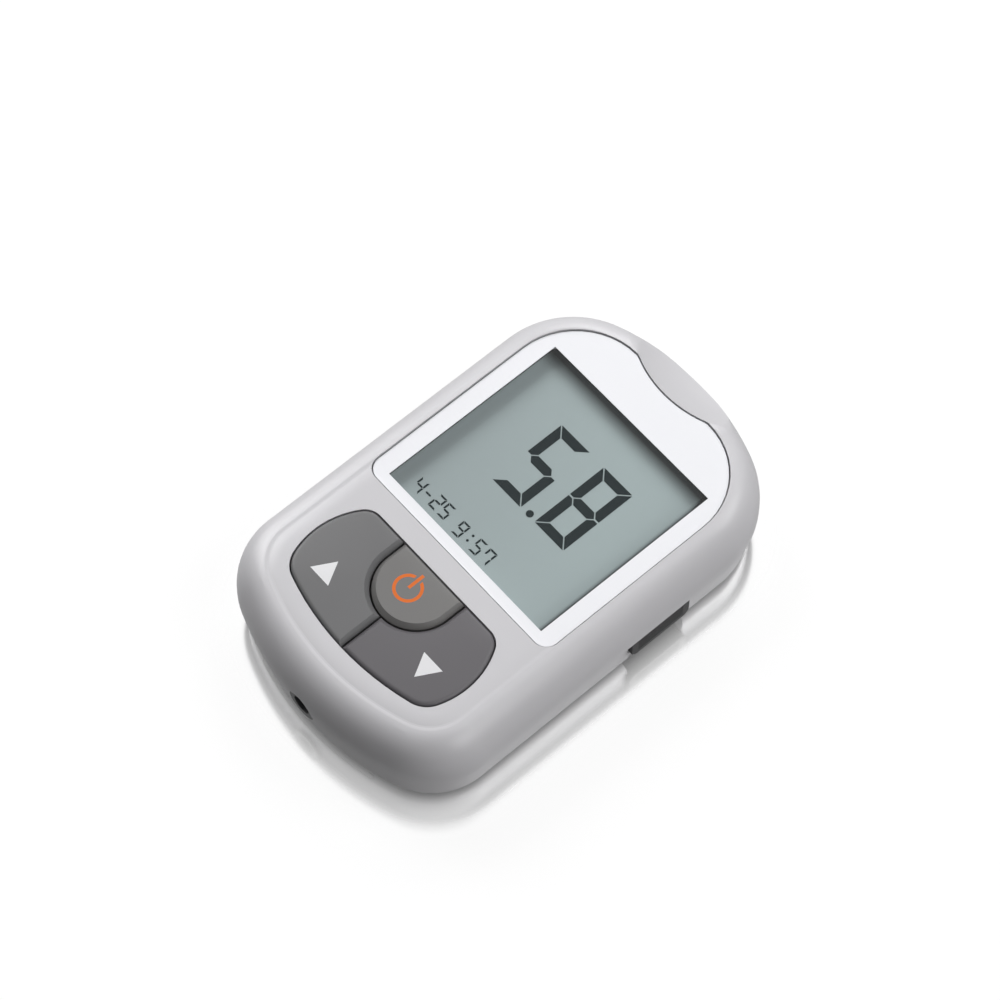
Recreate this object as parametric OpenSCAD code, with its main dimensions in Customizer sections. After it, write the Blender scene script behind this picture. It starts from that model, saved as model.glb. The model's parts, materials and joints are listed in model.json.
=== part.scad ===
// Blood glucose meter: a hand-held meter with a display window, three soft keys,
// a test strip port under a dished lip, a code chip in the side and a data jack.
// Origin: centre of the footprint on the surface it rests on. +Y is the strip end, +Z is up.

/* [Body] */
// Width across the belly of the housing
body_w = 55.5; // [53:0.5:60]
// Length over both ends of the housing
body_l = 88; // [86:0.5:98]
// Height of the flat top above the resting surface
body_h = 18.5; // [18.4:0.1:20.5]
// Radius of the strip end less that of its corners, in plan
strip_bend = 29; // [27:0.5:31]
// Radius of the key end less that of its corners, in plan
key_bend = 41; // [38:0.5:43]
// Height of the shoulder, from the widest section to the flat top
shoulder_h = 8.4; // [8:0.1:8.6]
// Height of the straight side, from the parting line to the widest section
side_h = 1; // [0.8:0.1:1.4]
// How far the shoulder turns in from the belly to the flat top
shoulder_in = 5.6; // [5:0.1:5.8]
// How far the lower shell is set in under the belly
lower_in = 1; // [0.7:0.05:1.2]
// How far the rounded edge of the base turns in
base_round_in = 1.8; // [1.4:0.1:2.2]
// Height of the rounded edge of the base
base_round_h = 2.4; // [1.8:0.1:3]
// Wall thickness of both shells
wall = 1.8; // [1.5:0.1:2]
// Wall thickness of the flat base
floor_t = 1.4; // [1.3:0.1:1.8]
// Height of the flat base above the resting surface
foot_gap = 0.5; // [0.4:0.1:0.8]

/* [Dished lip] */
// Radius of the ball that scoops the dish
dish_r = 30.6; // [29:0.2:33]
// Distance of the ball's centre beyond the end of the body
dish_out = 13.7; // [13:0.1:15]
// Height of the ball's centre above the flat top
dish_up = 21.25; // [21:0.25:23]

/* [Window] */
// Distance of the clear window's sides from the belly
window_side = 8.75; // [8.5:0.05:10]
// Distance of the clear window from the strip end
window_far = 15.9; // [15.6:0.1:17]
// Distance of the clear window from the key end
window_near = 35.5; // [35.2:0.1:37]
// Distance of the window plate's sides from the belly
lens_side = 5.4; // [5.3:0.05:6]
// Near edge of the window plate, from the window's near edge
lens_near = 2.1; // [1.6:0.1:3]
// Corner radius at the near edge of the window plate
lens_near_r = 2.6; // [2:0.1:4]
// How far the window plate's corner centres sit in from the body's, across the body
lens_corner_in = 1.36; // [0.8:0.02:2]
// How far the window plate's corner centres sit back from the body's, along the body
lens_corner_back = 0.7; // [0.5:0.05:1]
// Radius of the hollow in the far edge of the window plate
notch_r = 22; // [21.5:0.1:22.5]
// Radius of the lobes on both sides of the hollow
lobe_r = 2.2; // [1.5:0.1:3]
// Thickness of the window plate
lens_t = 1.0; // [0.8:0.1:1.2]
// Depth of the window plate below the flat top
lens_sunk = 0.25; // [0.1:0.05:0.4]
// Thickness of the white mask behind the window plate
mask_t = 0.2; // [0.15:0.05:0.3]
// Thickness of the ledge that carries the window plate
ledge_t = 1; // [0.9:0.1:1.3]
// Gap round the window plate
lens_gap = 0.15; // [0.1:0.05:0.25]

/* [Display] */
// How far the display glass reaches past the window on each side
lcd_side = 2.25; // [1.8:0.05:2.4]
// How far the front display glass reaches past the window at each end
lcd_end = 2.1; // [1.8:0.05:2.2]
// Thickness of each display glass
lcd_glass_t = 0.7; // [0.6:0.05:0.9]
// Contact ledge of the front glass past the rear glass, at both ends
lcd_ledge = 2.4; // [2:0.1:3]
// Thickness of the foam gasket above the display
gasket_t = 0.4; // [0.3:0.1:0.7]
// Thickness of the reflector film
reflector_t = 0.2; // [0.15:0.05:0.3]
// Gap between the reflector film and the circuit board
display_gap = 0.2; // [0.1:0.05:0.4]

/* [Keys] */
// Distance of the key pad from the key end, on its centreline
pad_in = 9.2; // [8.6:0.1:10]
// Radius of the near edge of the key pad less that of its corners
pad_bow = 48; // [46:0.5:50]
// Radius of the near corners of the key pad
pad_near_corner_r = 5; // [4:0.1:6]
// Radius of the sides of the key pad less that of its near corners
pad_side_bend = 10; // [9:0.25:11]
// Radius of the far corners of the key pad
pad_far_corner_r = 3.5; // [2.5:0.1:4.5]
// Gap between the keys and the housing
key_gap = 0.25; // [0.2:0.05:0.35]
// Radius of the groove round the power key, on its centreline
power_r = 7.55; // [6.8:0.05:8]
// Width of the grooves between the keys at the top
groove_w = 1.9; // [1.4:0.1:2.4]
// Depth of the grooves between the keys
groove_d = 0.9; // [0.6:0.1:1.1]
// Gap between neighbouring keys
split = 0.35; // [0.3:0.05:0.45]
// Height of the keys above the flat top
key_proud = 0.35; // [0.1:0.05:0.6]
// Radius of the keys' upper edges
key_edge_r = 0.7; // [0.4:0.1:0.9]
// Travel of a key
key_travel = 0.7; // [0.5:0.05:0.75]
// Diameter of the post under each key
post_d = 5; // [4:0.5:5.5]
// Diameter of the carbon contact pill under each post
pill_d = 3.6; // [3:0.2:4.4]

/* [Circuit board] */
// Thickness of the circuit board
board_t = 1; // [0.8:0.1:1.2]
// Gap between the circuit board and the walls
board_gap = 0.8; // [0.7:0.1:1.1]

/* [Batteries] */
// Diameter of a cell, which a thinner body makes slimmer
cell_d = 10.5; // [10:0.1:10.5]
// Length of a cell over its button, which a shorter body makes shorter
cell_l = 44.5; // [43.5:0.1:44.5]
// Gap between the two cells
cell_gap = 1; // [0.6:0.1:1.4]
// Length of a battery spring when a cell is in
spring_l = 3.8; // [3.4:0.1:4.2]
// Number of coils in a battery spring
spring_turns = 4; // [3:1:5]
// Wire diameter of a battery spring
spring_wire = 0.7; // [0.5:0.1:0.8]
// Width of the battery door's visible face
door_w = 26; // [25.4:0.1:27]
// Thickness of the battery door
door_t = 1.2; // [1.1:0.05:1.25]
// Thickness of the door's side tongues
tongue_t = 0.6; // [0.5:0.05:0.65]
// Reach of the door's side tongues
tongue_reach = 1; // [0.8:0.1:1.3]
// Running clearance of the door and the code chip
slide_gap = 0.15; // [0.1:0.05:0.2]

/* [Code chip] */
// Length of the code chip's grip along the body
chip_l = 12.6; // [11:0.1:14]
// Height of the code chip's grip
chip_h = 4.5; // [4:0.1:4.8]
// Place of the code chip along the body
chip_y = 10.3; // [9:0.1:12]
// How far the grip sits in from the belly
chip_in = 0.05; // [0:0.05:0.6]
// Thickness of the code chip's grip
grip_t = 3; // [2.4:0.1:3.4]

/* [Data jack] */
// Bore of the data jack
jack_bore = 3.6; // [3.5:0.05:3.7]
// Outer diameter of the jack's collar
jack_collar = 6; // [5.6:0.1:6.4]
// Distance of the jack's axis below the circuit board
jack_drop = 4.45; // [4.3:0.05:4.6]
// Depth of the jack's bore
jack_depth = 12; // [11:0.5:13]

/* [Strip port] */
// Width of a test strip's slot
strip_slot_w = 7.4; // [6.4:0.1:8.4]
// Height of a test strip's slot
strip_slot_h = 1.2; // [1:0.1:1.4]
// Distance of the slot's middle below the circuit board
strip_drop = 3.45; // [3.35:0.05:3.55]

/* [Fasteners] */
// Diameter of the screw bosses
boss_d = 5; // [4.6:0.1:5.2]
// Thread diameter of the screws
screw_d = 2; // [1.8:0.1:2.2]
// Diameter of the housing screws' heads
head_d = 3.8; // [3.4:0.1:4]
// Diameter of a rubber foot
foot_d = 5.4; // [4.6:0.1:5.6]

/* [Hidden] */
$fn = 96;
e = 0.01;

// ---- planar outlines: lists of [centre x, centre y, signed radius, from, to, rays] ----
// The angles are those of the outward normal. The rays of a swept arc are the same two
// directions as vectors, and its piece is cut along them.
function polar(r, a) = [r * cos(a), r * sin(a)];
function angle_of(v) = atan2(v[1], v[0]);
function arc_points(a, inset, n) =
    [for (i = [0:n]) let(t = a[3] + (a[4] - a[3]) * i / n) [a[0], a[1]] + polar(a[2] - inset, t)];
function outline_points(path, inset = 0, n = 12) =
    let(p = [for (a = path) each arc_points(a, inset, n)])
    [for (i = [0:len(p) - 1]) if (norm(p[i] - p[(i + 1) % len(p)]) > 0.001) p[i]];
function mirror_x(v) = is_undef(v) ? undef : [-v[0], v[1]];
function mirrored(path) =
    [for (i = [len(path) - 1:-1:0]) let(a = path[i], rays = a[5])
        [-a[0], a[1], a[2], 180 - a[4], 180 - a[3], [mirror_x(rays[1]), mirror_x(rays[0])]]];
function circles_meet(c1, r1, c2, r2, turn) =
    let(d = norm(c2 - c1), u = (c2 - c1) / d, s = (r1 * r1 - r2 * r2 + d * d) / (2 * d))
    c1 + s * u + turn * sqrt(r1 * r1 - s * s) * [-u[1], u[0]];

// Body outline: straight sides, and two rounded corners and one wide arc at each end.
// The corner arcs run into the wide arcs along the ray turn_ray from their centres.
half_w = body_w / 2;
half_l = body_l / 2;
belly_z = body_h - shoulder_h;
parting_z = belly_z - side_h;
turn_ray = [0.352, 0.936];
turn = angle_of(turn_ray);
strip_corner = [strip_bend * turn_ray[0], half_l - half_w - strip_bend * (1 - turn_ray[0] - turn_ray[1])];
key_corner = [key_bend * turn_ray[0], half_w - half_l + key_bend * (1 - turn_ray[0] - turn_ray[1])];
strip_corner_r = half_w - strip_corner[0];
key_corner_r = half_w - key_corner[0];
strip_end_r = strip_corner_r + strip_bend;
key_end_r = key_corner_r + key_bend;
ray_a = turn_ray;
ray_b = [-turn_ray[0], turn_ray[1]];
body_path = [
    [strip_corner[0], strip_corner[1], strip_corner_r, 0, turn, [[1, 0], ray_a]],
    [0, half_l - strip_end_r, strip_end_r, turn, 180 - turn, [ray_a, ray_b]],
    [-strip_corner[0], strip_corner[1], strip_corner_r, 180 - turn, 180, [ray_b, [-1, 0]]],
    [-key_corner[0], key_corner[1], key_corner_r, 180, 180 + turn, [[-1, 0], -ray_a]],
    [0, key_end_r - half_l, key_end_r, 180 + turn, 360 - turn, [-ray_a, -ray_b]],
    [key_corner[0], key_corner[1], key_corner_r, 360 - turn, 360, [-ray_b, [1, 0]]],
];

// Profiles of the shells, as [inset, height] points
shoulder_steps = 12;
round_steps = 5;
function shoulder(skin) = [for (i = [0:shoulder_steps]) let(t = 90 * i / shoulder_steps)
    [shoulder_in - (shoulder_in - skin) * cos(t), belly_z + (body_h - belly_z - skin) * sin(t)]];
function lower_side(skin, low) = concat(
    [for (i = [0:round_steps]) let(t = 90 * i / round_steps)
        [lower_in + skin + base_round_in * (1 - sin(t)), low + base_round_h * (1 - cos(t))]],
    [[lower_in + skin, parting_z]]
);
core_in = shoulder_in + 0.8;

// Solid that carries a profile round a convex outline, filled in the middle.
// The arc numbered by solid_arc reaches to its centre, and any children are cut from it.
module swept(path, profile, core, solid_arc = -1, core_far = body_l) {
    low = profile[0][1];
    high = profile[len(profile) - 1][1];
    shape = concat(profile, [[core + 0.5, high], [core + 0.5, low]]);
    for (i = [0:len(path) - 1]) {
        a = path[i];
        b = path[(i + 1) % len(path)];
        if (i == solid_arc)
            difference() {
                arc_piece(a, concat(profile, [[a[2], high], [a[2], low]]));
                children();
            }
        else
            arc_piece(a, shape);
        from = [a[0], a[1]] + polar(a[2], a[4]);
        run = norm([b[0], b[1]] + polar(b[2], b[3]) - from);
        if (run > 0.1)
            translate([from[0], from[1], 0])
                rotate([90, 0, a[4] + 180])
                    linear_extrude(run)
                        polygon(shape);
    }
    translate([0, 0, low])
        linear_extrude(high - low)
            intersection() {
                polygon(outline_points(path, core));
                translate([-body_w, core_far - 2 * body_l])
                    square([2 * body_w, 2 * body_l]);
            }
}

module arc_piece(a, shape) {
    edge = [for (p = shape) [a[2] - p[0], p[1]]];
    reach = 2 * body_w;
    translate([a[0], a[1], 0])
        intersection() {
            rotate([0, 0, 90 * round((a[3] + a[4]) / 180) + 180])
                rotate_extrude()
                    polygon(edge);
            linear_extrude(2 * body_h)
                polygon([[0, 0], reach * a[5][0], reach * (a[5][0] + a[5][1]), reach * a[5][1]]);
        }
}

// The upper shell's outer form, or its cavity for skin = wall, with the dish in its far end
module upper_form(skin) {
    difference() {
        swept(body_path, concat([[skin, parting_z / 2]], shoulder(skin)), core_in, 1, dish_core_y)
            dish(skin);
        if (skin == 0)
            block([-body_w, -body_l, 0], [body_w, body_l, parting_z]);
    }
}

module body_below() {
    swept(body_path, lower_side(0, foot_gap), core_in);
}

// Rectangle with rounded corners, extruded
module slab(size, r, height) {
    linear_extrude(height)
        union() {
            square([size[0] - 2 * r, size[1]], center = true);
            square([size[0], size[1] - 2 * r], center = true);
            for (x = [-1, 1], y = [-1, 1])
                translate([x * (size[0] / 2 - r), y * (size[1] / 2 - r)])
                    circle(r);
        }
}

module block(low, high) {
    translate(low)
        cube(high - low);
}

// ---- levels, from the flat top down and from the resting surface up ----
lens_top = body_h - lens_sunk;
lens_low = lens_top - lens_t;
mask_low = lens_low - mask_t;
ledge_low = mask_low - ledge_t;
lcd_top = ledge_low - gasket_t;
lcd_mid = lcd_top - lcd_glass_t;
lcd_low = lcd_mid - lcd_glass_t;
board_top = lcd_low - reflector_t - display_gap;
board_z = board_top - board_t;
jack_z = board_z - jack_drop;
strip_z = board_z - strip_drop;
floor_top = foot_gap + floor_t;
roof_in = body_h - wall;

// ---- window outline ----
window_w = body_w - 2 * window_side;
win_near = window_near - half_l;
win_far = half_l - window_far;
window_l = win_far - win_near;
window_y = (win_far + win_near) / 2;
lens_w = body_w - 2 * lens_side;
lens_near_y = win_near - lens_near;
lens_corner = [strip_corner[0] - lens_corner_in, strip_corner[1] - lens_corner_back];
lens_far_r = lens_w / 2 - lens_corner[0];
notch_centre = [0, half_l + dish_out];
lobe_centre = circles_meet(lens_corner, lens_far_r - lobe_r, notch_centre, notch_r + lobe_r, -1);
lobe_from = angle_of(lobe_centre - lens_corner);
lobe_to = angle_of(notch_centre - lobe_centre);
lens_right = [
    [lens_w / 2 - lens_near_r, lens_near_y + lens_near_r, lens_near_r, -90, 0, []],
    [lens_corner[0], lens_corner[1], lens_far_r, 0, lobe_from, []],
    [lobe_centre[0], lobe_centre[1], lobe_r, lobe_from, lobe_to, []],
];
lens_path = concat(
    lens_right,
    [[notch_centre[0], notch_centre[1], -notch_r, lobe_to, 180 - lobe_to]],
    mirrored(lens_right)
);

lcd_w = window_w + 2 * lcd_side;
lcd_l = window_l + 2 * lcd_end;

// ---- key pad outline ----
pad_near = pad_in - half_l;
pad_ray_1 = [0.28, -0.96];
pad_ray_2 = [0.936, -0.352];
pad_ray_3 = [0.8432, 0.5376];
pad_side_r = pad_near_corner_r + pad_side_bend;
pad_near_r = pad_near_corner_r + pad_bow;
pad_bow_centre = [0, pad_near + pad_near_r];
pad_near_corner = pad_bow_centre + pad_bow * pad_ray_1;
pad_side = pad_near_corner - pad_side_bend * pad_ray_2;
pad_far_corner = pad_side + (pad_side_r - pad_far_corner_r) * pad_ray_3;
pad_far = pad_far_corner[1] + pad_far_corner_r;
pad_w = 2 * (pad_side[0] + pad_side_r);
function ray_arc(c, r, from, to) = [c[0], c[1], r, angle_of(from), angle_of(to), [from, to]];
pad_right = [
    ray_arc(pad_near_corner, pad_near_corner_r, pad_ray_1, pad_ray_2),
    ray_arc(pad_side, pad_side_r, pad_ray_2, pad_ray_3),
    ray_arc(pad_far_corner, pad_far_corner_r, pad_ray_3, [0, 1]),
];
pad_path = concat(
    [ray_arc(pad_bow_centre, pad_near_r, [-pad_ray_1[0], pad_ray_1[1]], pad_ray_1)],
    pad_right,
    mirrored(pad_right)
);
power_near = 8.6;
power_y = pad_near + power_near + power_r;

// ---- places ----
jack_mouth = -half_l + 0.45;
connector_near = half_l - 16;
jack_end = jack_mouth + jack_depth + 1.2;
cell_rest = 0.1;
cell_play = 0.3;
cell_fit_d = min(cell_d, board_z - floor_top - cell_rest - cell_play);
cell_x = (cell_fit_d + cell_gap) / 2;
bay_side = 0.4;
bay_half = cell_x + cell_fit_d / 2 + bay_side;
bay_wall = 1.2;
plate_t = 0.4;
bay_clear = 0.15;
bay_low = jack_end + bay_clear + bay_wall;
bay_high = connector_near - bay_clear - bay_wall;
end_fit = spring_l + 2 * plate_t + 0.2;
cell_fit_l = min(cell_l, bay_high - bay_low - end_fit);
bay_near = (bay_low + bay_high - cell_fit_l - end_fit) / 2;
bay_far = bay_near + cell_fit_l + end_fit;
cell_z = floor_top + cell_rest + cell_fit_d / 2;
door_top = foot_gap + door_t;
groove_top = door_top + slide_gap;
rail_t = 1.3;
far_boss = [half_w - 9.45, half_l - 10];
near_boss = [pad_near_corner[0] + 6.86, pad_near + 0.8];
foot_x = half_w - 8.95;
foot_y = half_l - 23;
foot_spots = [[foot_x, foot_y], [foot_x, -foot_y]];
pad_screw = pad_far_corner + [6.7232, 3.1776];
board_screw_spots = [[-8, half_l - 9.5], [-pad_screw[0], pad_screw[1]], pad_screw];
chip_top = parting_z - slide_gap;
chip_low = chip_top - chip_h;
chip_face = half_w - chip_in;
chip_body_l = chip_l - 2;
chip_body_low = chip_low + 0.5;
chip_body_top = chip_top - 0.6;
chip_body_x = bay_half + bay_wall + 2.4;
recess_x = chip_face - grip_t;
port_half_w = 5.6;
port_half_h = 1.7;
port_mouth = half_l - 0.5;
port_back = half_l - 3.8;
connector_low = strip_z - 1.6;
connector_high = strip_z + 1.6;
board_far = half_l - 6.4;
connector_half_w = 5.8;
key_top = body_h + key_proud;
flange_top = roof_in - 0.3;
flange_t = 0.8;
pill_low = board_top + key_travel + 0.1;
key_spot = [11.85, pad_near + 9.3];
key_spots = [[-key_spot[0], key_spot[1]], [0, power_y], key_spot];

module at_corners(spot) {
    for (x = [-1, 1])
        translate([x * spot[0], spot[1], 0])
            children();
}

dish_core_y = half_l - 10;
module dish(grow = 0) {
    translate([0, half_l + dish_out, body_h + dish_up])
        sphere(dish_r + grow, $fn = 160);
}

module end_tunnel(half_x, half_z, z, from, to) {
    block([-half_x, from, z - half_z], [half_x, to, z + half_z]);
}

module jack_hole(d) {
    translate([0, -half_l - 1, jack_z])
        rotate([-90, 0, 0])
            cylinder(d = d, h = 4);
}

// ---- shells ----

module upper_bosses() {
    for (spot = [far_boss, near_boss])
        at_corners(spot)
            translate([0, 0, parting_z])
                cylinder(d = boss_d, h = roof_in - parting_z + e);
    for (p = board_screw_spots)
        translate([p[0], p[1], board_top])
            cylinder(d = boss_d - 1, h = roof_in - board_top + e);
}

module upper_holes() {
    for (spot = [far_boss, near_boss])
        at_corners(spot)
            translate([0, 0, parting_z - 1])
                cylinder(d = screw_d, h = 6);
    for (p = board_screw_spots)
        translate([p[0], p[1], board_top - 1])
            cylinder(d = screw_d, h = 3.4);
}

module upper_housing() {
    color([0.88, 0.88, 0.89])
        difference() {
            upper_form(0);
            difference() {
                upper_form(wall);
                translate([0, 0, ledge_low])
                    linear_extrude(body_h)
                        polygon(outline_points(lens_path, -1.2));
                upper_bosses();
            }
            translate([0, 0, mask_low])
                linear_extrude(body_h)
                    polygon(outline_points(lens_path, -lens_gap));
            translate([0, window_y, ledge_low - 1])
                slab([window_w + 1.6, window_l + 1.6], 1, 3);
            translate([0, 0, roof_in - 1])
                linear_extrude(wall + 2)
                    polygon(outline_points(pad_path));
            upper_holes();
            jack_hole(jack_collar + 2 * slide_gap);
            end_tunnel(port_half_w + slide_gap, port_half_h + slide_gap, strip_z, half_l - 5, half_l + 1);
        }
}

module finger_recess(grow = 0) {
    top_half = chip_l / 2 - 0.3 + grow;
    intersection() {
        translate([0, chip_y + chip_l, 0])
            rotate([90, 0, 0])
                linear_extrude(2 * chip_l)
                    polygon([
                        [recess_x - grow, chip_low - slide_gap], [recess_x + 0.6 - grow, foot_gap - 1],
                        [half_w + 1, foot_gap - 1], [half_w + 1, chip_low - slide_gap],
                    ]);
        translate([recess_x - 2, chip_y, 0])
            rotate([90, 0, 90])
                linear_extrude(half_w)
                    polygon([
                        [-top_half, chip_low], [-top_half - 0.8, foot_gap - 1],
                        [top_half + 0.8, foot_gap - 1], [top_half, chip_low],
                    ]);
    }
}

module chip_slot() {
    block([chip_face - grip_t - slide_gap, chip_y - chip_l / 2 - slide_gap, chip_low - slide_gap],
        [half_w + 1, chip_y + chip_l / 2 + slide_gap, parting_z + 1]);
    block([chip_body_x, chip_y - chip_body_l / 2 - slide_gap, chip_body_low - slide_gap],
        [half_w, chip_y + chip_body_l / 2 + slide_gap, parting_z + 1]);
}

module lower_ribs() {
    rail_x = door_w / 2 + tongue_reach + 1.4;
    for (x = [-1, 1])
        block([min(x * bay_half, x * rail_x), -half_l, groove_top],
            [max(x * bay_half, x * rail_x), bay_far + 2, groove_top + rail_t]);
    block([-bay_half, -half_l, groove_top], [bay_half, bay_near, groove_top + rail_t]);
    block([-bay_half, bay_far, groove_top], [bay_half, bay_far + 2, groove_top + rail_t]);
    finger_recess(1.4);
}

module lower_posts() {
    for (x = [-1, 1])
        block([min(x * bay_half, x * (bay_half + bay_wall)), bay_near - bay_wall, groove_top],
            [max(x * bay_half, x * (bay_half + bay_wall)), bay_far + bay_wall, board_z - 2.2]);
    for (y = [bay_near - bay_wall, bay_far])
        block([-bay_half - bay_wall, y, groove_top], [bay_half + bay_wall, y + bay_wall, board_z - 2.2]);
    for (spot = [far_boss, near_boss])
        at_corners(spot)
            translate([0, 0, foot_gap + 0.1])
                cylinder(d = boss_d + 0.4, h = parting_z - foot_gap - 0.1);
    for (y = [36 - half_l, half_l - 24.5], x = [-1, 1])
        translate([x * (half_w - 6.25), y, 0])
            block([-0.6, -0.6, foot_gap + 1], [0.6, 0.6, board_z]);
}

module door_channel() {
    half = door_w / 2 + slide_gap;
    block([-half, -half_l - 1, foot_gap - 1], [half, bay_far + 1.2, groove_top]);
    block([-half - tongue_reach, -half_l - 1, door_top - tongue_t - slide_gap],
        [half + tongue_reach, bay_far + 1.2, groove_top]);
    block([-bay_half, bay_near, foot_gap], [bay_half, bay_far, board_z]);
}

module lower_housing() {
    color([0.8, 0.8, 0.81])
        difference() {
            union() {
                difference() {
                    body_below();
                    swept(body_path, concat(lower_side(wall, floor_top), [[lower_in + wall, parting_z + 1]]), core_in);
                }
                intersection() {
                    body_below();
                    lower_ribs();
                }
                lower_posts();
            }
            door_channel();
            finger_recess();
            chip_slot();
            for (spot = [far_boss, near_boss])
                at_corners(spot) {
                    cylinder(d = screw_d + 0.4, h = body_h);
                    translate([0, 0, foot_gap - 1])
                        cylinder(d = head_d + 0.4, h = 4.2);
                }
            for (spot = foot_spots)
                at_corners(spot)
                    cylinder(d = foot_d + 0.1, h = foot_gap + 0.6);
            jack_hole(jack_collar + 2 * slide_gap);
            end_tunnel(port_half_w + slide_gap, port_half_h + slide_gap, strip_z, half_l - 5, half_l + 1);
            end_tunnel(connector_half_w + 0.3, 2, strip_z, connector_near - 0.5, half_l - wall - 0.6);
        }
}

// ---- window and display ----

module display_lens() {
    color([0.8, 0.85, 0.85, 0.4])
        translate([0, 0, lens_low])
            linear_extrude(lens_t)
                polygon(outline_points(lens_path));
}

module lens_mask() {
    color("white")
        translate([0, 0, mask_low])
            difference() {
                linear_extrude(mask_t)
                    polygon(outline_points(lens_path, 0.1));
                translate([0, window_y, -1])
                    linear_extrude(3)
                        square([window_w, window_l], center = true);
            }
}

module lcd_gasket() {
    color([0.15, 0.15, 0.16])
        translate([0, window_y, lcd_top])
            difference() {
                slab([lcd_w - 0.4, lcd_l - 0.4], 1, gasket_t);
                translate([0, 0, -1])
                    slab([window_w + 1.6, window_l + 1.6], 1, 3);
            }
}

module lcd_front_glass() {
    color([0.62, 0.7, 0.68])
        translate([0, window_y, lcd_mid])
            slab([lcd_w, lcd_l], 0.3, lcd_glass_t);
}

module lcd_rear_glass() {
    color([0.62, 0.7, 0.68])
        translate([0, window_y, lcd_low])
            slab([lcd_w, lcd_l - 2 * lcd_ledge], 0.3, lcd_glass_t);
}

module lcd_reflector() {
    color("silver")
        translate([0, window_y, lcd_low - reflector_t])
            slab([lcd_w - 1, lcd_l - 2 * lcd_ledge - 0.6], 0.3, reflector_t);
}

frame_wall = 0.9;
frame_gap = 0.15;
module lcd_frame() {
    frame_low = board_top;
    color([0.9, 0.9, 0.88])
        translate([0, window_y, 0])
            difference() {
                translate([0, 0, frame_low])
                    slab([lcd_w + 2 * (frame_wall + frame_gap), lcd_l + 2 * (frame_wall + frame_gap)],
                        0.8, lcd_top - 0.2 - frame_low);
                translate([0, 0, lcd_mid])
                    slab([lcd_w + 2 * frame_gap, lcd_l + 2 * frame_gap], 0.5, 5);
                translate([0, 0, frame_low - 1])
                    slab([lcd_w + 2 * frame_gap, lcd_l - 2 * lcd_ledge + 0.3], 0.5, 5);
                for (y = [-1, 1])
                    translate([0, y * (lcd_l / 2 - lcd_ledge / 2 + 0.2), frame_low - 1])
                        slab([lcd_w - 3, lcd_ledge - 0.6], 0.2, 5);
                at_corners([far_boss[0], far_boss[1] - window_y])
                    cylinder(d = boss_d + 0.6, h = body_h);
            }
}

module zebra_strips() {
    color([0.75, 0.45, 0.5])
        for (y = [-1, 1])
            translate([0, window_y + y * (lcd_l / 2 - lcd_ledge / 2 + 0.2), board_top])
                slab([lcd_w - 3.4, lcd_ledge - 1], 0.2, lcd_mid - board_top);
}

// ---- keys ----

// Groove with sloped sides, as [distance from its centreline, height] points
groove_profile = [
    [-groove_w / 2, key_top + 1], [-groove_w / 2, key_top], [-groove_w / 2 + 0.35, key_top - groove_d * 0.45],
    [-split / 2, key_top - groove_d], [-split / 2, board_top - 2], [split / 2, board_top - 2],
    [split / 2, key_top - groove_d], [groove_w / 2 - 0.35, key_top - groove_d * 0.45],
    [groove_w / 2, key_top], [groove_w / 2, key_top + 1],
];

module straight_groove(from, to) {
    translate([from[0], to, 0])
        rotate([90, 0, 0])
            linear_extrude(to - from[1])
                polygon(groove_profile);
}

module key_grooves() {
    for (x = [-1, 1])
        straight_groove([x * power_r, power_y], pad_far + 2);
    translate([0, power_y, 0])
        rotate([0, 0, 180])
            rotate_extrude(angle = 180)
                polygon([for (p = groove_profile) [power_r + p[0], p[1]]]);
    straight_groove([0, pad_near - 2], power_y - power_r);
}

// The whole pad: caps with rounded upper edges, and the flange that holds them in
edge_steps = 5;
edge_profile = concat(
    [[key_gap, flange_top - e]],
    [for (i = [0:edge_steps]) let(t = 90 * i / edge_steps)
        [key_gap + key_edge_r * (1 - cos(t)), key_top - key_edge_r * (1 - sin(t))]]
);
pad_core = 2.4;
flange_reach = 0.9;
module whole_pad() {
    swept(pad_path, edge_profile, pad_core);
    translate([0, 0, flange_top - flange_t])
        linear_extrude(flange_t)
            polygon(outline_points(pad_path, -flange_reach));
}

module key_region(side) {
    if (side == 0)
        linear_extrude(body_h * 2)
            union() {
                translate([0, power_y])
                    circle(power_r);
                translate([-power_r, power_y])
                    square([2 * power_r, pad_far - power_y + 4]);
            }
    else
        difference() {
            translate([side > 0 ? 0 : -pad_w, pad_near - 4, 0])
                cube([pad_w, pad_far - pad_near + 8, body_h * 2]);
            key_region(0);
        }
}

module key(side) {
    spot = key_spots[side + 1];
    color([0.42, 0.41, 0.42]) {
        intersection() {
            difference() {
                whole_pad();
                key_grooves();
            }
            key_region(side);
        }
        translate([spot[0], spot[1], pill_low + 0.6])
            cylinder(d = post_d, h = flange_top - flange_t - pill_low - 0.6 + e);
    }
}

module pill(side) {
    spot = key_spots[side + 1];
    color([0.1, 0.1, 0.1])
        translate([spot[0], spot[1], pill_low])
            cylinder(d = pill_d, h = 0.6);
}

module key_up() { key(-1); }
module key_power() { key(0); }
module key_down() {
    mirror([1, 0, 0])
        key(-1);
}
module pill_up() { pill(-1); }
module pill_power() { pill(0); }
module pill_down() { pill(1); }

module keypad_sheet() {
    color([0.35, 0.35, 0.36])
        translate([0, (pad_far + pad_near) / 2, board_top])
            difference() {
                slab([pad_w - 3, pad_far - pad_near - 2], 3, 0.8);
                for (p = key_spots)
                    translate([p[0], p[1] - (pad_far + pad_near) / 2, -1])
                        cylinder(d = post_d + 2, h = 3);
            }
}

// ---- board and its components ----

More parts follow.
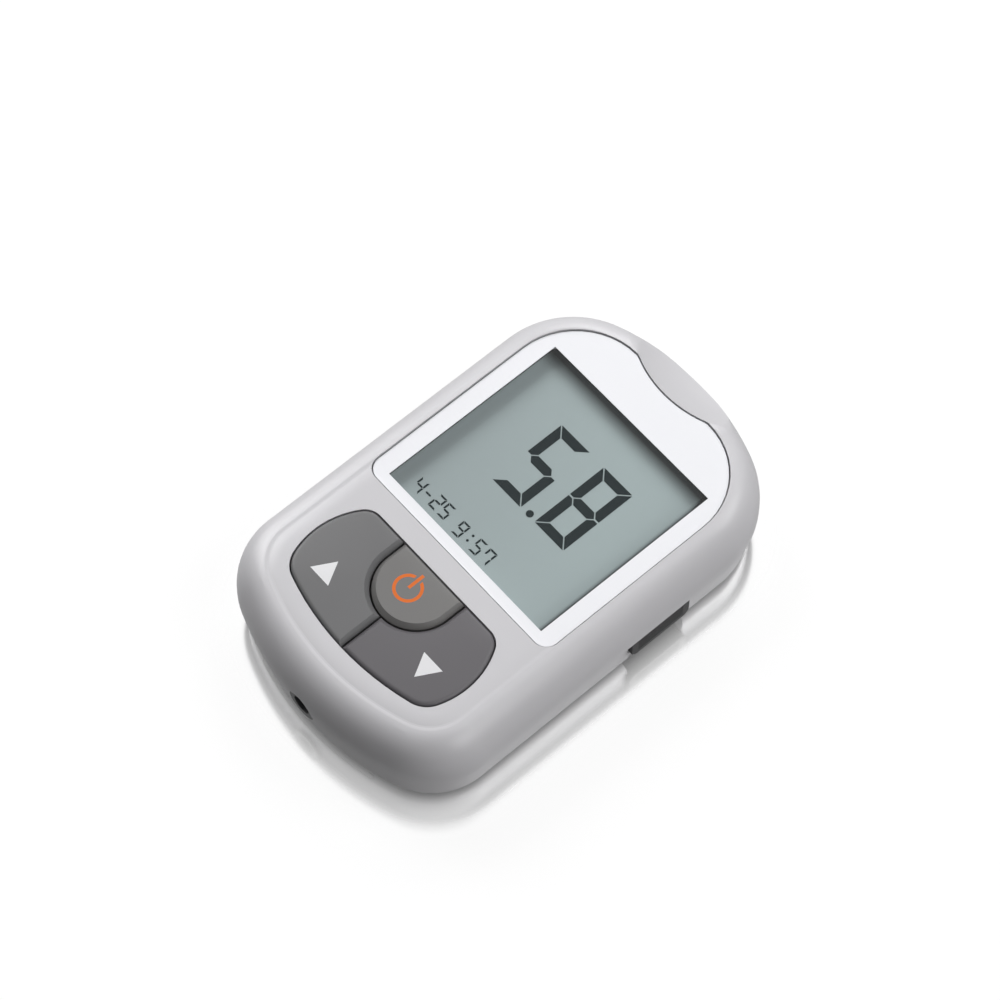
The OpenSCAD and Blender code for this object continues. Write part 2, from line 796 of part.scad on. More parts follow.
module main_board() {
    color([0.1, 0.4, 0.2])
        difference() {
            translate([0, 0, board_z])
                linear_extrude(board_t)
                    intersection() {
                        polygon(outline_points(body_path, wall + 0.1 + board_gap));
                        square([body_w, 2 * board_far], center = true);
                    }
            for (spot = [far_boss, near_boss])
                at_corners(spot)
                    cylinder(d = boss_d + 0.6, h = body_h);
            for (p = board_screw_spots)
                translate([p[0], p[1], 0])
                    cylinder(d = screw_d + 0.3, h = body_h);
        }
}

module board_screws() {
    head_t = 0.9;
    thread_l = 3;
    color("silver")
        for (p = board_screw_spots)
            translate([p[0], p[1], 0]) {
                translate([0, 0, board_z - head_t])
                    cylinder(d = head_d - 0.4, h = head_t);
                translate([0, 0, board_z - e])
                    cylinder(d = screw_d - 0.02, h = thread_l);
            }
}

module controller_chip() {
    side = 7;
    body_t = 1.2;
    lead_pitch = 0.9;
    lead_half_w = 0.15;
    lead_t = 0.35;
    lead_in = 0.05;
    lead_out = 0.85;
    color([0.08, 0.08, 0.08])
        translate([9.25 - half_w, 17.2 - half_l, board_z]) {
            translate([0, 0, -body_t])
                slab([side, side], 0.3, body_t);
            for (i = [-3:3], turn = [0:90:270])
                rotate([0, 0, turn])
                    block([side / 2 - lead_in, i * lead_pitch - lead_half_w, -lead_t],
                        [side / 2 + lead_out, i * lead_pitch + lead_half_w, 0]);
        }
}

module memory_chip() {
    size = [4, 4.4, 1.1];
    lead_pitch = 1.1;
    lead_half_w = 0.2;
    lead_t = 0.3;
    lead_in = 0.2;
    lead_out = 0.6;
    color([0.08, 0.08, 0.08])
        translate([9.25 - half_w, 24.4 - half_l, board_z]) {
            block([-size[0] / 2, -size[1] / 2, -size[2]], [size[0] / 2, size[1] / 2, 0]);
            for (i = [-1.5:1.5], turn = [0, 180])
                rotate([0, 0, turn])
                    block([size[0] / 2 - lead_in, i * lead_pitch - lead_half_w, -lead_t],
                        [size[0] / 2 + lead_out, i * lead_pitch + lead_half_w, 0]);
        }
}

module crystal() {
    can = [4, 8];
    can_t = 1.9;
    color("silver")
        translate([8.25 - half_w, 2, board_z - can_t])
            slab(can, can_t, can_t);
}

module capacitors() {
    size = [3, 1.6, 1.3];
    pitch = 4;
    color([0.7, 0.6, 0.45])
        for (i = [0:2])
            translate([7.25 - half_w, 8 + i * pitch, board_z - size[2]])
                cube(size);
}

module buzzer() {
    case_d = 9;
    case_t = 3;
    port_d = 4;
    port_t = 0.4;
    color([0.8, 0.68, 0.3])
        translate([bay_half + bay_wall + case_d / 2 + 0.5, 22 - half_l, board_z - case_t]) {
            cylinder(d = case_d, h = case_t);
            translate([0, 0, -port_t])
                cylinder(d = port_d, h = port_t + e);
        }
}

// ---- batteries ----

// A cell along +Y with its flat end at the origin
module cell() {
    button_d = 3.8;
    button_l = 1;
    rotate([-90, 0, 0]) {
        cylinder(d = cell_fit_d, h = cell_fit_l - button_l);
        cylinder(d = button_d, h = cell_fit_l);
    }
}

module battery_left() {
    color([0.25, 0.3, 0.36])
        translate([-cell_x, bay_near + plate_t + spring_l, cell_z])
            cell();
}

module battery_right() {
    color([0.25, 0.3, 0.36])
        translate([cell_x, bay_far - plate_t - spring_l, cell_z])
            rotate([0, 0, 180])
                cell();
}

// Conical coil along +Y, as rings of points round the wire
coil_steps = 14;
wire_sides = 6;
coil_base_r = 3.9;
coil_tip_r = 2.4;
coil_rings = spring_turns * coil_steps;
coil_points = [for (i = [0:coil_rings])
    let(t = i / coil_rings, a = 360 * i / coil_steps, r = coil_base_r + (coil_tip_r - coil_base_r) * t,
        y = spring_wire / 2 + (spring_l - spring_wire - 0.1) * t)
    for (k = [0:wire_sides - 1])
        let(b = 360 * k / wire_sides, q = r + spring_wire / 2 * cos(b))
        [q * cos(a), y + spring_wire / 2 * sin(b), q * sin(a)]];
coil_faces = concat(
    [[for (k = [0:wire_sides - 1]) k]],
    [for (i = [0:coil_rings - 1], k = [0:wire_sides - 1])
        let(a = wire_sides * i + k, b = wire_sides * i + (k + 1) % wire_sides)
        each [[a, b + wire_sides, b], [a, a + wire_sides, b + wire_sides]]],
    [[for (k = [wire_sides - 1:-1:0]) wire_sides * coil_rings + k]]
);

module battery_springs() {
    color("silver") {
        translate([-cell_x, bay_near + plate_t, cell_z])
            polyhedron(coil_points, coil_faces, convexity = 8);
        translate([cell_x, bay_far - plate_t, cell_z])
            rotate([0, 0, 180])
                polyhedron(coil_points, coil_faces, convexity = 8);
    }
}

module battery_contacts() {
    plate_low = floor_top + 1.4;
    plate_high = board_z - 2.4;
    plate_half = 4.6;
    tab_half = 0.8;
    color("silver") {
        block([-bay_half + 0.4, bay_far - plate_t, plate_low], [bay_half - 0.4, bay_far, plate_high]);
        for (x = [-cell_x, cell_x]) {
            block([x - plate_half, bay_near, plate_low], [x + plate_half, bay_near + plate_t, plate_high]);
            block([x - tab_half, bay_near, plate_high - e], [x + tab_half, bay_near + plate_t, board_z]);
        }
    }
}

module battery_door() {
    half = door_w / 2;
    rib_half = 5;
    rib_w = 0.7;
    rib_pitch = 1.6;
    rib_start = 10 - half_l;
    rib_proud = 0.3;
    rib_taper = 0.4;
    color([0.8, 0.8, 0.81]) {
        intersection() {
            body_below();
            union() {
                block([-half, -half_l, foot_gap - 1], [half, bay_far + 1, door_top]);
                block([-half - tongue_reach, -half_l, door_top - tongue_t],
                    [half + tongue_reach, bay_far + 1, door_top]);
            }
        }
        for (i = [0:4])
            block([-rib_half + i * rib_taper, rib_start + i * rib_pitch, foot_gap - rib_proud],
                [rib_half - i * rib_taper, rib_start + i * rib_pitch + rib_w, foot_gap + e]);
    }
}

// ---- ports ----

module code_socket() {
    side_wall = 1.3;
    half = chip_body_l / 2;
    color([0.12, 0.12, 0.13])
        difference() {
            block([bay_half + bay_wall + 0.2, chip_y - half - side_wall, chip_body_low - 0.6],
                [recess_x - 4.1, chip_y + half + side_wall, board_z]);
            block([chip_body_x - slide_gap, chip_y - half - slide_gap, chip_body_low - slide_gap],
                [recess_x, chip_y + half + slide_gap, chip_body_top + slide_gap]);
        }
}

module code_chip() {
    chamfer = 0.9;
    grip_half = chip_l / 2;
    rib_pitch = 0.8;
    rib_gap = 0.35;
    rib_depth = 0.25;
    color([0.24, 0.24, 0.25])
        difference() {
            union() {
                translate([chip_face - grip_t, chip_y, 0])
                    rotate([90, 0, 90])
                        linear_extrude(grip_t)
                            polygon([
                                [-grip_half, chip_top], [-grip_half, chip_low + chamfer],
                                [-grip_half + chamfer, chip_low], [grip_half - chamfer, chip_low],
                                [grip_half, chip_low + chamfer], [grip_half, chip_top],
                            ]);
                block([chip_body_x, chip_y - chip_body_l / 2, chip_body_low],
                    [chip_face - grip_t + 1, chip_y + chip_body_l / 2, chip_body_top]);
            }
            for (z = [chip_low + 1.1:rib_pitch:chip_top - 0.6])
                block([chip_face - rib_depth, chip_y - grip_half + 1.4, z],
                    [chip_face + 1, chip_y + grip_half - 1.4, z + rib_gap]);
        }
}

module data_jack() {
    block_half_w = 3.4;
    block_below = 3.1;
    color([0.1, 0.1, 0.1])
        difference() {
            union() {
                translate([0, jack_mouth, jack_z])
                    rotate([-90, 0, 0])
                        cylinder(d = jack_collar, h = wall + 1.2);
                block([-block_half_w, jack_mouth + wall + lower_in, jack_z - block_below],
                    [block_half_w, jack_end, board_z]);
            }
            translate([0, jack_mouth - 1, jack_z])
                rotate([-90, 0, 0])
                    cylinder(d = jack_bore, h = jack_depth + 1);
        }
}

module strip_port() {
    color([0.3, 0.3, 0.32])
        difference() {
            end_tunnel(port_half_w, port_half_h, strip_z, port_back, port_mouth);
            end_tunnel(strip_slot_w / 2, strip_slot_h / 2, strip_z, port_back - 1, port_mouth + 1);
        }
}

module strip_connector() {
    back_wall = 2;
    color([0.92, 0.92, 0.88])
        difference() {
            union() {
                block([-connector_half_w, connector_near, connector_low],
                    [connector_half_w, port_back - 0.1, connector_high]);
                block([-connector_half_w, connector_near, strip_z], [connector_half_w, board_far, board_z]);
            }
            end_tunnel(strip_slot_w / 2, strip_slot_h / 2, strip_z, connector_near + back_wall, half_l);
        }
}

module strip_contacts() {
    pitch = 1.3;
    finger_half_w = 0.3;
    finger_t = 0.25;
    slot_top = strip_z + strip_slot_h / 2;
    color("gold")
        for (i = [-2:2])
            block([i * pitch - finger_half_w, connector_near + 3, slot_top - finger_t],
                [i * pitch + finger_half_w, port_back - 2.5, slot_top]);
}

// ---- fasteners and feet ----

module housing_screws() {
    color("silver")
        for (spot = [far_boss, near_boss])
            at_corners(spot) {
                translate([0, 0, foot_gap + 1.6])
                    cylinder(d = head_d, h = 1.6);
                translate([0, 0, foot_gap + 3])
                    cylinder(d = screw_d - 0.02, h = parting_z + 4 - foot_gap - 3);
            }
}

module rubber_feet() {
    color([0.3, 0.3, 0.3])
        for (spot = foot_spots)
            at_corners(spot)
                cylinder(d = foot_d, h = foot_gap + 0.6);
}

upper_housing();
lower_housing();
display_lens();
lens_mask();
lcd_gasket();
lcd_front_glass();
lcd_rear_glass();
lcd_reflector();
lcd_frame();
zebra_strips();
key_up();
key_power();
key_down();
pill_up();
pill_power();
pill_down();
keypad_sheet();
main_board();
board_screws();
controller_chip();
memory_chip();
crystal();
capacitors();
buzzer();
battery_left();
battery_right();
battery_springs();
battery_contacts();
battery_door();
code_socket();
code_chip();
data_jack();
strip_port();
strip_connector();
strip_contacts();
housing_screws();
rubber_feet();
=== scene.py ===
import json
import math

import bmesh
import bpy
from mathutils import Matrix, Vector


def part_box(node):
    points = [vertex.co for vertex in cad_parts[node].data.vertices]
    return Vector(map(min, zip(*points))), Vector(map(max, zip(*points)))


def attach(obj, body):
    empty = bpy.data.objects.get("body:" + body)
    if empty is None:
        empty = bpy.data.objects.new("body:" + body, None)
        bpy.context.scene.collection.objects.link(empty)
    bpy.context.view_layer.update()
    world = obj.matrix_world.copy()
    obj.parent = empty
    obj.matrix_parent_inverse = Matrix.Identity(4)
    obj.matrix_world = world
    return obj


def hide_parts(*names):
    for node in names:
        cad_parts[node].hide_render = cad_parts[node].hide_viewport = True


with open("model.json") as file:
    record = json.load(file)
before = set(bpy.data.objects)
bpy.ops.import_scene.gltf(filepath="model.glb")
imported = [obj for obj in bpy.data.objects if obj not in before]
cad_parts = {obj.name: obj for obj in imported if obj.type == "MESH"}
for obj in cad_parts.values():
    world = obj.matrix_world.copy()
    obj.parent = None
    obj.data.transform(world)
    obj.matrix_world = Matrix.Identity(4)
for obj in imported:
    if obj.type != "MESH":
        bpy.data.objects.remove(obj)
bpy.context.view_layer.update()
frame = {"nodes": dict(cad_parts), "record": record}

MM = 0.001
nodes = frame["nodes"]
slot_of = {part["node"]: part["material_slot"] for part in frame["record"]["subparts"]}


# ---------------------------------------------------------------- materials


class Value:
    """A node socket that takes part in Python arithmetic."""

    def __init__(self, graph, socket):
        self.graph = graph
        self.socket = socket

    def math(self, operation, a, b=0.0, clamp=False):
        return self.graph.node("ShaderNodeMath", {"operation": operation, "use_clamp": clamp}, {0: a, 1: b})

    def __add__(self, other):
        return self.math("ADD", self, other)

    def __radd__(self, other):
        return self.math("ADD", other, self)

    def __sub__(self, other):
        return self.math("SUBTRACT", self, other)

    def __rsub__(self, other):
        return self.math("SUBTRACT", other, self)

    def __mul__(self, other):
        return self.math("MULTIPLY", self, other)

    def __rmul__(self, other):
        return self.math("MULTIPLY", other, self)

    def __truediv__(self, other):
        return self.math("DIVIDE", self, other)

    def __abs__(self):
        return self.math("ABSOLUTE", self)

    def __gt__(self, other):
        return self.math("GREATER_THAN", self, other)

    def __lt__(self, other):
        return self.math("LESS_THAN", self, other)

    def within(self, low, high):
        return (self > low) * (self < high)

    def clamped(self):
        return self.math("MULTIPLY", self, 1.0, clamp=True)

    def least(self, other):
        return self.math("MINIMUM", self, other)

    def root(self):
        return self.math("SQRT", self)


class Graph:
    """The nodes of a new material, or of the world where one is given, and one way to add them."""

    def __init__(self, name, world=None):
        self.material = world or bpy.data.materials.new(name)
        self.material.use_nodes = True
        self.tree = self.material.node_tree
        self.shader = self.tree.nodes["Background" if world else "Principled BSDF"]
        self.output = self.tree.nodes["World Output" if world else "Material Output"]

    def node(self, kind, settings=None, inputs=None, out=0):
        made = self.tree.nodes.new(kind)
        for key, value in (settings or {}).items():
            setattr(made, key, value)
        for key, value in (inputs or {}).items():
            self.put(made.inputs[key], value)
        return Value(self, made.outputs[out])

    def put(self, socket, value):
        if isinstance(value, Value):
            self.tree.links.new(value.socket, socket)
        elif socket.type == "RGBA":
            socket.default_value = (*value, 1)
        else:
            socket.default_value = value

    def set(self, **values):
        for key, value in values.items():
            self.put(self.shader.inputs[key.replace("_", " ")], value)

    def place(self):
        """Object coordinates in millimetres: x, y and z."""
        coordinates = self.node("ShaderNodeTexCoord", out="Object")
        return [1000 * self.node("ShaderNodeSeparateXYZ", None, {0: coordinates}, out=i) for i in range(3)]

    def grain(self, waves, detail=2.0):
        """Noise from 0 to 1, with this many waves a metre."""
        coordinates = self.node("ShaderNodeTexCoord", out="Object")
        inputs = {"Vector": coordinates, "Scale": waves, "Detail": detail}
        return self.node("ShaderNodeTexNoise", None, inputs)

    def mix(self, factor, a, b):
        return self.node("ShaderNodeMix", {"data_type": "RGBA"}, {"Factor": factor, 6: a, 7: b}, out=2)

    def bump(self, height, strength, distance, under=None):
        """A bumped normal, on top of the bumped normal under it."""
        bumped = {"Height": height, "Strength": strength, "Distance": distance}
        if under:
            bumped["Normal"] = under
        normal = self.node("ShaderNodeBump", None, bumped)
        self.set(Normal=normal)
        return normal


def linear(*shown):
    """A colour as a screen shows it, 0 to 255, turned to the linear values that a shader takes."""
    parts = [c / 255 for c in shown]
    return tuple(c / 12.92 if c <= 0.04045 else ((c + 0.055) / 1.055) ** 2.4 for c in parts)


# Broad unevenness of a moulded face in waves a metre, and the depth of the grain on plastic and on metal
BROAD_WAVES = 60
GRAIN_DEPTH = 0.02 * MM
METAL_GRAIN_DEPTH = 0.01 * MM

# Plan of the body in mm: half its width and length, and how much wider the end arcs are than the corners
HALF_W, HALF_L = 27.75, 44.0
KEY_BEND, STRIP_BEND = 41, 29
CORNER_RAY = (0.352, 0.936)

# Lip round the flat top in mm: where its fall and its crest start inside the outline, their run and height
FALL_START, FALL_RUN, FALL_DEPTH = 8.2, 2.6, 0.26
CREST_START, CREST_RUN, CREST_RISE = 5.9, 0.8, 0.12
# Plan of the thumb dish in mm: its centre, its radius and the width over which the lip fades at it
DISH_Y, DISH_R, DISH_FADE = 57.7, 22.5, 2
# Far wall of the window's recess in mm, painted dark as the shade that falls on it under the plate
RECESS_WALL_Y, RECESS_HALF_W, RECESS_TOP = (27.8, 28.5), 19.3, 17.2


def rim_distance(x, y):
    """How far a place on the top stands in from the outline of the body, in mm."""
    across = abs(x)
    inside = HALF_W - across
    for end, bend in ((-1, KEY_BEND), (1, STRIP_BEND)):
        corner_r = HALF_W - bend * CORNER_RAY[0]
        corner_y = HALF_L - HALF_W - bend * (1 - CORNER_RAY[0] - CORNER_RAY[1])
        arc_r = corner_r + bend
        along = end * y
        from_arc = along - (HALF_L - arc_r)
        arc = arc_r - (across * across + from_arc * from_arc).root()
        side, ahead = across - bend * CORNER_RAY[0], along - corner_y
        corner = corner_r - (side * side + ahead * ahead).root()
        at_corner = (ahead > 0) * (CORNER_RAY[1] * side - CORNER_RAY[0] * ahead > 0)
        inside = inside.least(arc + 1000 * (ahead < 0)) * (1 - at_corner) + corner * at_corner
    return inside


def top_shell():
    """Light grey shell, with painted shade on the far wall of the window's recess. Its flat top falls
    slightly towards a soft lip where the shoulder begins.
    """
    g = Graph("housing_satin")
    x, y, z = g.place()
    inset = rim_distance(x, y)
    fall = ((FALL_START - inset) / FALL_RUN).clamped()
    crest = ((CREST_START - inset) / CREST_RUN).clamped()
    from_dish = y - DISH_Y
    off_dish = (((x * x + from_dish * from_dish).root() - DISH_R) / DISH_FADE).clamped()
    form = g.bump(MM * off_dish * (CREST_RISE * crest - FALL_DEPTH * fall * fall), 1.0, 1.0)
    broad = g.grain(BROAD_WAVES)
    tone = g.mix(broad, linear(201, 200, 203), linear(207, 206, 209))
    # Painted shade: the far wall of the window's recess is coloured near black where shade falls under the
    # plate
    recess_wall_painted_shade = y.within(*RECESS_WALL_Y) * (abs(x) < RECESS_HALF_W) * (z < RECESS_TOP)
    tone = g.mix(recess_wall_painted_shade, tone, linear(26, 28, 29))
    g.set(Base_Color=tone, Roughness=0.28 + 0.08 * broad)
    g.bump(g.grain(7000), 0.1, GRAIN_DEPTH, form)
    return g.material


def moulded(name, colour, rough, grain_waves=7000, grain_strength=0.1, spread=0.03, shine=0.5):
    """Moulded plastic or rubber: a nearly even colour, a slightly uneven gloss and a fine grain."""
    g = Graph(name)
    broad = g.grain(BROAD_WAVES)
    light = tuple(min(1, c * (1 + spread)) for c in colour)
    dark = tuple(c * (1 - spread) for c in colour)
    g.set(Base_Color=g.mix(broad, dark, light), Specular_IOR_Level=shine)
    g.set(Roughness=rough - 0.04 + 0.08 * broad)
    g.bump(g.grain(grain_waves), grain_strength, GRAIN_DEPTH)
    return g.material


def metal(name, colour, rough):
    """Bare metal with a fine brushed grain."""
    g = Graph(name)
    brushed = g.grain(4000, 4.0)
    g.set(Base_Color=colour, Metallic=1.0, Roughness=rough - 0.06 + 0.12 * brushed)
    g.bump(brushed, 0.1, METAL_GRAIN_DEPTH)
    return g.material


def clear_plate():
    """The window plate: clear, with a polished surface."""
    g = Graph("window_plate")
    inside = g.node("ShaderNodeNewGeometry", out="Backfacing")
    gloss = g.node("ShaderNodeFresnel", None, {"IOR": 1.45}) * (1 - inside)
    shine = g.node("ShaderNodeBsdfGlossy", None, {"Color": (1, 1, 1), "Roughness": 0.03})
    through = g.node("ShaderNodeBsdfTransparent", None, {"Color": (0.99, 0.993, 0.992)})
    g.put(g.output.inputs["Surface"], g.node("ShaderNodeMixShader", None, {0: gloss, 1: through, 2: shine}))
    return g.material


# Painted shade on the display in mm: where it starts and its run, at the far edge and at the +X edge
FAR_SHADE_Y, FAR_SHADE_RUN = 24.6, 3.5
SIDE_SHADE_X, SIDE_SHADE_RUN = 17.2, 0.8


def display_surface():
    """Grey-green display glass, darker towards its -X, -Y corner, partly its own change with the angle of
    view and partly a painted reflection of the plate, with painted shade near its far and +X edges.
    """
    g = Graph("display_surface")
    x, y, _ = g.place()
    # Darker towards the -X, -Y corner and lighter towards +X: partly the display's own change with the
    # angle of view, partly a painted reflection of the plate above it
    corner = ((14 - 0.7 * x - 0.5 * y) / 60).clamped()
    fine = g.grain(2600)
    tone = g.mix(corner, linear(166, 179, 180), linear(144, 152, 154))
    tone = g.mix(0.12 * fine, tone, linear(134, 143, 144))
    # Painted shadow cast by the print at the far edge, and a thin painted line of shade at the +X edge
    far_painted_shadow = ((y - FAR_SHADE_Y) / FAR_SHADE_RUN).clamped()
    side = ((x - SIDE_SHADE_X) / SIDE_SHADE_RUN).clamped()
    tone = g.mix((0.9 * far_painted_shadow * far_painted_shadow + 0.9 * side * side).clamped(), tone, linear(44, 48, 50))
    g.set(Base_Color=tone, Roughness=0.35, Specular_IOR_Level=0.1)
    return g.material


def key_rubber(name, grey=(97, 96, 98), mark_colour=None, mark=None):
    """Key rubber, with a printed mark where mark(x, y) is 1, in millimetres seen from above."""
    g = Graph(name)
    x, y, _ = g.place()
    broad = g.grain(BROAD_WAVES)
    tone = g.mix(broad, linear(*grey), linear(*(1.06 * c for c in grey)))
    rough = 0.46 + 0.06 * broad
    if mark:
        printed = mark(x, y)
        tone = g.mix(printed, tone, mark_colour)
        rough = rough - 0.12 * printed
    g.set(Base_Color=tone, Roughness=rough)
    g.bump(g.grain(6000), 0.15, GRAIN_DEPTH)
    return g.material


# Plan of the printed marks in mm: tips, bases and the steepness of an arrow's sides
UP_TIP, UP_BASE_Y = (-11.78, -25.35), -29.4
DOWN_TIP, DOWN_BASE_Y = (11.95, -29.35), -25.3
ARROW_SLOPE = 1.78
# Power mark: its centre, its ring and the ring's half gap, and the bar that stands in the gap
POWER_CENTRE, POWER_RING, POWER_HALF_GAP = (-0.68, -19.9), (2.02, 2.6), 0.72
POWER_BAR_HALF_W, POWER_BAR_ALONG = 0.29, (0.1, 3.35)


def arrow_up(x, y):
    return (y > UP_BASE_Y) * ((y - UP_TIP[1]) + ARROW_SLOPE * abs(x - UP_TIP[0]) < 0)


def arrow_down(x, y):
    return (y < DOWN_BASE_Y) * (ARROW_SLOPE * abs(x - DOWN_TIP[0]) - (y - DOWN_TIP[1]) < 0)


def power_mark(x, y):
    across = x - POWER_CENTRE[0]
    along = y - POWER_CENTRE[1]
    radius = (across * across + along * along).root()
    ring = radius.within(*POWER_RING) * (1 - (abs(across) < POWER_HALF_GAP) * (along > 0))
    bar = (abs(across) < POWER_BAR_HALF_W) * along.within(*POWER_BAR_ALONG)
    return (ring + bar).clamped()


finishes = {
    "housing": top_shell(),
    "lower_shell": moulded("lower_shell_satin", linear(204, 203, 206), 0.34),
    "window": clear_plate(),
    "white_print": moulded("white_print", linear(243, 243, 247), 0.25, 3000, 0.0, 0.006),
    "foam": moulded("black_foam", linear(24, 26, 26), 0.9, 3000, 0.5),
    "display_glass": display_surface(),
    "reflector": metal("reflector_film", linear(188, 192, 190), 0.4),
    "white_plastic": moulded("white_nylon", linear(228, 227, 220), 0.5),
    "elastomer": moulded("pink_elastomer", linear(206, 148, 156), 0.6),
    "keys": key_rubber("key_rubber"),
    "carbon": moulded("carbon_pill", linear(26, 26, 27), 0.6),
    "board": moulded("board_green", linear(24, 92, 52), 0.35, 2000, 0.1, 0.3),
    "steel": metal("brushed_steel", linear(190, 190, 194), 0.32),
    "spring_steel": metal("plated_steel", linear(205, 205, 208), 0.22),
    "black_plastic": moulded("black_plastic", linear(44, 44, 46), 0.45),
    "ceramic": moulded("tan_ceramic", linear(176, 150, 112), 0.5),
    "brass": metal("brass_case", linear(206, 178, 104), 0.3),
    "cell_jacket": moulded("cell_jacket", linear(70, 84, 104), 0.3, 3000, 0.0, 0.4),
    "chip_plastic": moulded("chip_grip", linear(56, 56, 57), 0.5, 6000, 0.2, shine=0.2),
    "port_plastic": moulded("port_grey", linear(82, 82, 86), 0.4),
    "gold_plate": metal("gold_plate", linear(226, 190, 110), 0.25),
    "rubber": moulded("foot_rubber", linear(74, 74, 76), 0.8, 5000, 0.4),
}
arrow_print = linear(228, 228, 230)
# One key rubber in three greys: the down key's darker grey is painted shade, where less light falls across
# the pad, and the power key's grey is a little lighter
key_finishes = {
    "key_up": key_rubber("key_rubber_arrow_up", (94, 94, 95), arrow_print, arrow_up),
    "key_power": key_rubber("key_rubber_power", (103, 102, 101), linear(214, 102, 18), power_mark),
    "key_down": key_rubber("key_rubber_arrow_down_painted_shade", (85, 83, 86), arrow_print, arrow_down),
}
ink = moulded("display_ink", linear(16, 32, 35), 0.6, 4000, 0.0, shine=0.0)
for name, piece in nodes.items():
    piece.data.materials.clear()
    piece.data.materials.append(finishes[slot_of[name]])


# ---------------------------------------------------------------- modelling helpers


def choose(*pieces):
    """Only these pieces are selected, and the first is active."""
    bpy.ops.object.select_all(action="DESELECT")
    for piece in pieces:
        piece.select_set(True)
    bpy.context.view_layer.objects.active = pieces[0] if pieces else None


def settle(piece, name, material, body):
    """Names a finished piece, puts its place into its mesh, and lets it ride on its body."""
    choose(piece)
    bpy.ops.object.transform_apply(location=True, rotation=True, scale=True)
    piece.name = name
    piece.data.name = name
    piece.data.materials.clear()
    piece.data.materials.append(material)
    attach(piece, body)


def select_corners(piece, test):
    """In edit mode, selects the corners whose place passes the test."""
    bpy.ops.mesh.select_mode(type="VERT")
    bpy.ops.mesh.select_all(action="DESELECT")
    mesh = bmesh.from_edit_mesh(piece.data)
    for corner in mesh.verts:
        corner.select_set(test(corner.co))
    mesh.select_flush_mode()
    bmesh.update_edit_mesh(piece.data)


def joined(pieces):
    choose(*pieces)
    bpy.ops.object.join()
    return bpy.context.object


# Faces that meet at less than this many degrees are shaded as one, and corners this near are welded
SMOOTH_ANGLE = 35
WELD = 0.001 * MM


def smooth_form(node, body, material=None):
    """A welded and smoothly shaded piece that stands for a CAD node."""
    piece = bpy.data.objects.new(node + "_form", nodes[node].data.copy())
    bpy.context.collection.objects.link(piece)
    choose(piece)
    bpy.ops.mesh.customdata_custom_splitnormals_clear()
    bpy.ops.object.mode_set(mode="EDIT")
    bpy.ops.mesh.select_all(action="SELECT")
    bpy.ops.mesh.remove_doubles(threshold=WELD)
    bpy.ops.object.mode_set(mode="OBJECT")
    bpy.ops.object.shade_smooth_by_angle(angle=math.radians(SMOOTH_ANGLE))
    settle(piece, node + "_form", material or finishes[slot_of[node]], body)
    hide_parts(node)
    return piece


for node in (
    "upper_housing",
    "lower_housing",
    "display_lens",
    "battery_left",
    "battery_right",
    "buzzer",
    "rubber_feet",
    "data_jack",
    "strip_port",
    "housing_screws",
):
    smooth_form(node, "housing")
for node in ("key_up", "key_power", "key_down"):
    smooth_form(node, node, key_finishes[node])
for node in ("code_chip", "battery_door"):
    smooth_form(node, node)


# ---------------------------------------------------------------- white border print


# How far the white print stands under the face of the window plate, in mm
PRINT_DEPTH = 0.12


def white_border():
    """The print on the window plate, raised to just under its face, where the real one looks to be."""
    piece = smooth_form("lens_mask", "housing")
    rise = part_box("display_lens")[1][2] - PRINT_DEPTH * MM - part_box("lens_mask")[1][2]
    choose(piece)
    bpy.ops.object.mode_set(mode="EDIT")
    bpy.ops.mesh.select_all(action="SELECT")
    bpy.ops.transform.translate(value=(0, 0, rise))
    bpy.ops.object.mode_set(mode="OBJECT")


white_border()


# ---------------------------------------------------------------- display figures

LCD_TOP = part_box("lcd_front_glass")[1][2]
INK_T = 0.03

# Strokes of a figure: run along x or y, corner of the run's start, and which way the stroke is thick
STROKES = {
    "a": ("x", (0, 2), -1),
    "d": ("x", (0, 0), 1),
    "g": ("x", (0, 1), 0),
    "f": ("y", (0, 1), 1),
    "e": ("y", (0, 0), 1),
    "b": ("y", (1, 1), -1),
    "c": ("y", (1, 0), -1),
}
FIGURES = {
    "2": "abdeg",
    "4": "bcfg",
    "5": "acdfg",
    "7": "abcf",
    "8": "abcdefg",
    "9": "abcdfg",
    "-": "g",
}


def stroke(run, start, length, width, thick_side, gap, cuts):
    """A flat stroke from start, in mm. Each end is cut back at its outer side, middle and inner side."""
    along = Vector((1, 0, 0)) if run == "x" else Vector((0, 1, 0))
    inward = Vector((0, 1, 0)) if run == "x" else Vector((1, 0, 0))
    centre = Vector((*start, 0)) + along * length / 2 + inward * thick_side * width / 2
    size = along * (length - 2 * gap) + inward * width + Vector((0, 0, INK_T))
    choose()
    bpy.ops.mesh.primitive_cube_add(size=1, location=centre * MM + Vector((0, 0, LCD_TOP + INK_T * MM / 2)))
    piece = bpy.context.object
    bpy.ops.transform.resize(value=size * MM)
    bpy.ops.object.transform_apply(location=False, rotation=False, scale=True)
    bpy.ops.object.mode_set(mode="EDIT")
    bpy.ops.mesh.select_all(action="SELECT")
    bpy.ops.mesh.bisect(plane_co=piece.location, plane_no=inward)
    inner = inward * (thick_side or 1) / (width * MM / 2)
    for end, end_cuts in zip((-1, 1), cuts):
        for column, cut in zip((-1, 0, 1), end_cuts):
            select_corners(piece, lambda co: co.dot(along) * end > 0 and abs(co.dot(inner) - column) < 0.1)
            bpy.ops.transform.translate(value=-end * cut * along * MM)
    bpy.ops.object.mode_set(mode="OBJECT")
    return piece


def dot(centre, radius):
    choose()
    place = (centre[0] * MM, centre[1] * MM, LCD_TOP + INK_T * MM / 2)
    bpy.ops.mesh.primitive_cylinder_add(vertices=32, radius=radius * MM, depth=INK_T * MM, location=place)
    return bpy.context.object


